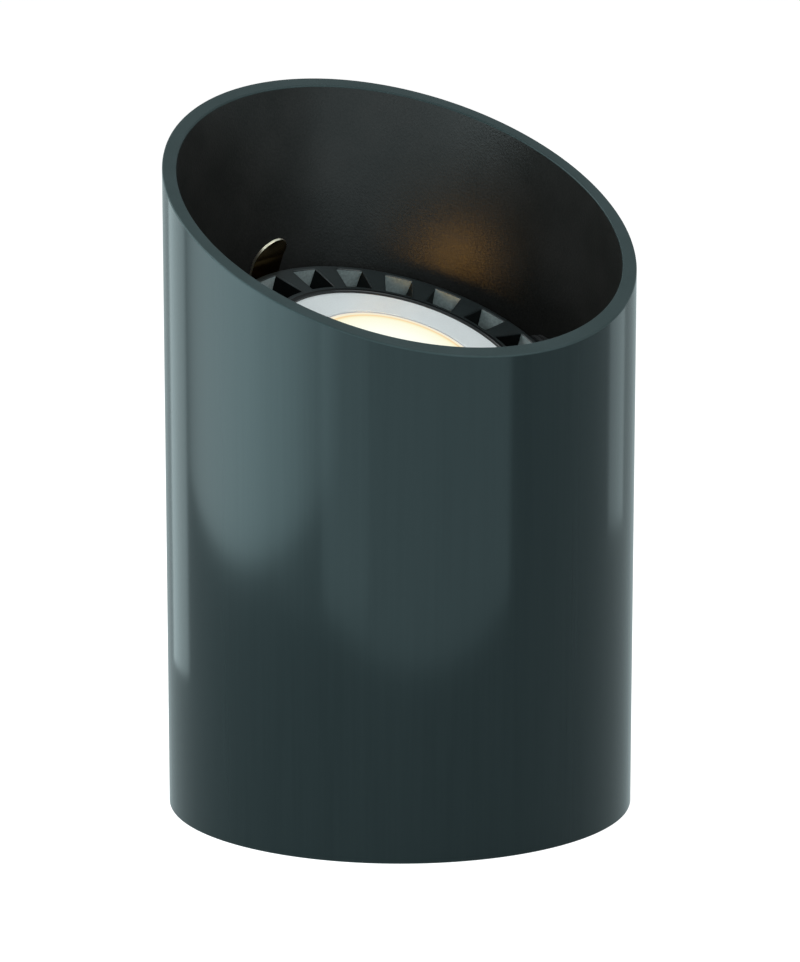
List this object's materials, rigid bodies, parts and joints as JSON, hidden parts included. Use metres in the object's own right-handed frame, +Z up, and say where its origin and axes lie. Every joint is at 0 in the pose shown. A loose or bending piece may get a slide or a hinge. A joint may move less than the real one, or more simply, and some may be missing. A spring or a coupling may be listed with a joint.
{
  "type": "above-ground well light",
  "caption": "Slant-cut tubular well light with a tilting reflector lamp on a swivelling yoke inside, spring clips and a cable gland in its base.",
  "frame": {"origin": "centre of the tube's foot, on the ground", "axes": "+Z up along the tube, -Y towards the low side of the slanted mouth"},
  "size_m": [0.146, 0.146, 0.2218],
  "materials": {
    "tube_pvc": "extruded rigid PVC, charcoal, semi-gloss outside",
    "moulded_black": "moulded ABS, fine texture",
    "gland_nylon": "moulded black nylon",
    "silicone": "moulded silicone rubber",
    "stainless": "passivated stainless steel",
    "white_nylon": "natural nylon washer",
    "black_nylon": "black nylon washer",
    "blackened_steel": "blackened stainless steel",
    "holder_steel": "black powder-coated sheet steel",
    "clip_bronze": "spring bronze strip, bright edges",
    "lamp_casting": "die-cast aluminium, satin black paint",
    "trim_black": "moulded black polycarbonate",
    "disc_grey": "moulded polycarbonate, light grey",
    "lens_opal": "opal polycarbonate diffuser, lit",
    "reflector_metal": "spun aluminium, bright",
    "board_white": "metal-core board, white solder mask",
    "emitter_yellow": "phosphor-coated emitter",
    "pad_grey": "thermal pad",
    "board_green": "glass-epoxy board",
    "component_black": "moulded components",
    "brass": "turned brass"
  },
  "bodies": {
    "housing": {"housing_tube": "tube_pvc", "base_insert": "moulded_black", "gland_body": "gland_nylon", "gland_nut": "gland_nylon", "gland_seal": "silicone", "gland_locknut": "gland_nylon", "swivel_bolt": "stainless", "swivel_friction_washer": "white_nylon", "swivel_spring_washer": "stainless", "swivel_lock_nut": "stainless"},
    "yoke": {"yoke_strap": "holder_steel"},
    "lamp_holder": {"lens_gasket": "silicone", "clip_rivets": "stainless", "board_screws": "stainless", "rear_cap_screws": "stainless", "terminal_screws": "stainless", "pivot_spacers": "black_nylon", "pivot_screws": "blackened_steel", "pivot_washers": "blackened_steel", "pivot_clinch_nuts": "blackened_steel", "holder_ring": "holder_steel", "clip_roots": "clip_bronze", "lamp_housing": "lamp_casting", "trim_ring": "trim_black", "rear_cap": "trim_black", "face_disc": "disc_grey", "lens": "lens_opal", "reflector": "reflector_metal", "led_board": "board_white", "led_emitter": "emitter_yellow", "thermal_pad": "pad_grey", "driver_board": "board_green", "driver_capacitor": "component_black", "driver_inductor": "component_black", "driver_rectifier": "component_black", "terminal_posts": "brass", "terminal_washers": "brass"},
    "clip_high": {"clip_high_arm": "clip_bronze"},
    "clip_low": {"clip_low_arm": "clip_bronze"}
  },
  "joints": [
    {"name": "swivel", "type": "hinge", "parent": "housing", "child": "yoke", "pos_m": [0, 0, 0.0561], "axis": [0, 0, 1], "range_deg": [-170, 170]},
    {"name": "tilt", "type": "hinge", "parent": "yoke", "child": "lamp_holder", "pos_m": [-0.00044, 0.00203, 0.13665], "axis": [0.977, 0.213, 0], "range_deg": [-24.5, 10.5]},
    {"name": "clip_high_flex", "type": "hinge", "parent": "lamp_holder", "child": "clip_high", "pos_m": [-0.02468, 0.05237, 0.15494], "axis": [-0.9098, -0.4047, -0.0919], "range_deg": [0, 12], "stiffness_Nm_per_rad": 0.5},
    {"name": "clip_low_flex", "type": "hinge", "parent": "lamp_holder", "child": "clip_low", "pos_m": [0.02276, -0.04354, 0.10762], "axis": [0.9098, 0.4047, 0.0919], "range_deg": [0, 12], "stiffness_Nm_per_rad": 0.5}
  ]
}
